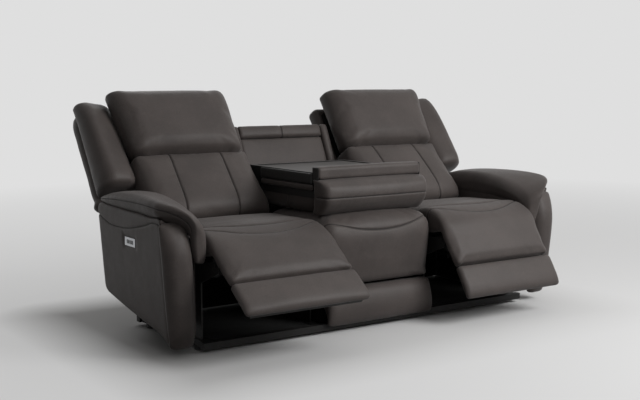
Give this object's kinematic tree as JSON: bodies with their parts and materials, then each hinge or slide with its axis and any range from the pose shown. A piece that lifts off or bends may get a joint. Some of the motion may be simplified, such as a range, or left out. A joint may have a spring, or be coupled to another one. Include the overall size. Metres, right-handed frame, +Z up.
{
  "type": "reclining sofa",
  "caption": "Leather power recliner sofa with footrests, reclining wing backs, tilting headrests and a middle backrest that folds down into a console table.",
  "frame": {"origin": "on the floor, under the centre foot, midway between the arms", "axes": "+X to the right of someone who looks at the front, -Y to the front, +Z up"},
  "size_m": [2.116, 1.319, 1.043],
  "materials": {
    "leather": "satin, fine grain",
    "black_steel": "semi-matt black",
    "lining": "black lining cloth over board",
    "black_plastic": "matt",
    "tray_plastic": "satin",
    "silver_trim": "brushed",
    "grey_button": "satin",
    "cup_steel": "brushed"
  },
  "bodies": {
    "base": {"floor_frame": "black_steel", "power_supply": "black_plastic", "middle_seat_box": "lining", "middle_seat_cushion": "leather", "middle_front_pad": "leather", "middle_kick_pad": "leather", "left_recess_cheek": "leather", "right_recess_cheek": "leather", "recess_panel": "leather", "middle_back_board": "lining", "middle_back_cover": "leather", "left_console_bracket": "black_steel", "right_console_bracket": "black_steel", "left_arm_box": "leather", "left_arm_bolster": "leather", "left_arm_pad": "leather", "left_switch_plate": "silver_trim", "right_arm_box": "leather", "right_arm_bolster": "leather", "right_arm_pad": "leather", "right_switch_plate": "silver_trim"},
    "console": {"console_tray": "tray_plastic", "left_cup_liner": "cup_steel", "right_cup_liner": "cup_steel", "console_frame": "black_steel", "console_lip": "leather", "console_roll": "leather", "console_cushion": "leather"},
    "left_seat": {"left_inner_side_plate": "black_steel", "left_outer_side_plate": "black_steel", "left_seat_deck": "lining", "left_seat_cushion": "leather", "left_actuator": "black_steel"},
    "left_drive": {"left_drive_nut": "black_plastic"},
    "left_footrest": {"left_footrest_board": "black_steel", "left_footrest_pad": "leather", "left_footrest_end_pad": "leather"},
    "left_back": {"left_back_board": "lining", "left_back_shell": "leather", "left_lumbar_cushion": "leather", "left_wing_pad": "leather"},
    "left_headrest": {"left_headrest_cushion": "leather"},
    "left_open_button": {"left_open_button": "grey_button"},
    "left_close_button": {"left_close_button": "grey_button"},
    "right_seat": {"right_inner_side_plate": "black_steel", "right_outer_side_plate": "black_steel", "right_seat_deck": "lining", "right_seat_cushion": "leather", "right_actuator": "black_steel"},
    "right_drive": {"right_drive_nut": "black_plastic"},
    "right_footrest": {"right_footrest_board": "black_steel", "right_footrest_pad": "leather", "right_footrest_end_pad": "leather"},
    "right_back": {"right_back_board": "lining", "right_back_shell": "leather", "right_lumbar_cushion": "leather", "right_wing_pad": "leather"},
    "right_headrest": {"right_headrest_cushion": "leather"},
    "right_open_button": {"right_open_button": "grey_button"},
    "right_close_button": {"right_close_button": "grey_button"}
  },
  "joints": [
    {"name": "console_fold", "type": "hinge", "parent": "base", "child": "console", "pos_m": [0, 0.285, 0.6], "axis": [-1, 0, 0], "range_deg": [0, 114]},
    {"name": "left_seat_glide", "type": "slide", "parent": "base", "child": "left_seat", "axis": [0, -1, 0], "range_m": [-0.05, 0.05]},
    {"name": "left_back_recline", "type": "hinge", "parent": "left_seat", "child": "left_back", "pos_m": [-0.5855, 0.2927, 0.4153], "axis": [-1, 0, 0], "range_deg": [-17.1, 17.1]},
    {"name": "left_headrest_tilt", "type": "hinge", "parent": "left_back", "child": "left_headrest", "pos_m": [-0.5855, 0.33447, 0.76973], "axis": [1, 0, 0], "range_deg": [0, 28]},
    {"name": "left_footrest_lift", "type": "hinge", "parent": "left_seat", "child": "left_footrest", "pos_m": [-0.5855, -0.353, 0.363], "axis": [-1, 0, 0], "range_deg": [-54, 34]},
    {"name": "left_drive_slide", "type": "slide", "parent": "left_seat", "child": "left_drive", "axis": [0, -1, 0], "range_m": [-0.0665, 0.042]},
    {"name": "left_open_press", "type": "slide", "parent": "base", "child": "left_open_button", "axis": [1, 0, 0], "range_m": [0, 0.0012], "stiffness_N_per_m": 400},
    {"name": "left_close_press", "type": "slide", "parent": "base", "child": "left_close_button", "axis": [1, 0, 0], "range_m": [0, 0.0012], "stiffness_N_per_m": 400},
    {"name": "right_seat_glide", "type": "slide", "parent": "base", "child": "right_seat", "axis": [0, -1, 0], "range_m": [-0.05, 0.05]},
    {"name": "right_back_recline", "type": "hinge", "parent": "right_seat", "child": "right_back", "pos_m": [0.5855, 0.2927, 0.4153], "axis": [-1, 0, 0], "range_deg": [-17.1, 17.1]},
    {"name": "right_headrest_tilt", "type": "hinge", "parent": "right_back", "child": "right_headrest", "pos_m": [0.5855, 0.33447, 0.76973], "axis": [1, 0, 0], "range_deg": [0, 28]},
    {"name": "right_footrest_lift", "type": "hinge", "parent": "right_seat", "child": "right_footrest", "pos_m": [0.5855, -0.353, 0.363], "axis": [-1, 0, 0], "range_deg": [-33, 55]},
    {"name": "right_drive_slide", "type": "slide", "parent": "right_seat", "child": "right_drive", "axis": [0, -1, 0], "range_m": [-0.0408, 0.0677]},
    {"name": "right_open_press", "type": "slide", "parent": "base", "child": "right_open_button", "axis": [-1, 0, 0], "range_m": [0, 0.0012], "stiffness_N_per_m": 400},
    {"name": "right_close_press", "type": "slide", "parent": "base", "child": "right_close_button", "axis": [-1, 0, 0], "range_m": [0, 0.0012], "stiffness_N_per_m": 400}
  ],
  "couplings": [
    {"joint": "left_back_recline", "follows": "left_seat_glide", "rad_per_m": 5.9341},
    {"joint": "left_drive_slide", "follows": "left_footrest_lift", "m_per_rad": 0.07},
    {"joint": "right_back_recline", "follows": "right_seat_glide", "rad_per_m": 5.9341},
    {"joint": "right_drive_slide", "follows": "right_footrest_lift", "m_per_rad": 0.07}
  ]
}
